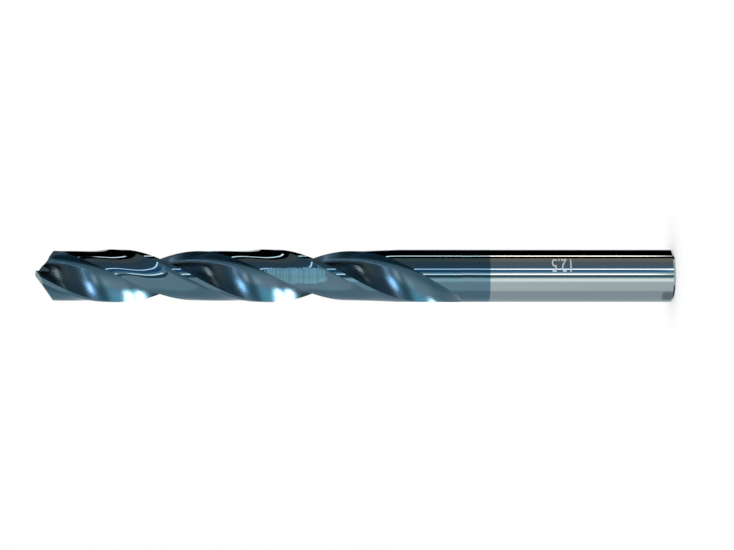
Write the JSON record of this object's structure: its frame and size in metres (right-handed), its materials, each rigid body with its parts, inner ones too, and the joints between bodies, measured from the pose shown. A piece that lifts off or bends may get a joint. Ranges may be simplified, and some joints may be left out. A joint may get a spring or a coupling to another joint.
{
  "type": "twist drill bit",
  "caption": "Long straight-shank carbide twist drill with right-hand helical flutes, ground margins, a faceted point and a dark coated cutting part.",
  "frame": {"origin": "centre of the flat end face of the shank", "axes": "+Z along the drill's axis from the shank end to the point; +X and +Y across it"},
  "size_m": [0.0126, 0.0126, 0.151],
  "materials": {
    "carbide": "finely ground cemented carbide, bright on the shank, with a thin dark slate-blue coating on the cutting part"
  },
  "bodies": {
    "root": {"drill_bit": "carbide"}
  },
  "joints": []
}
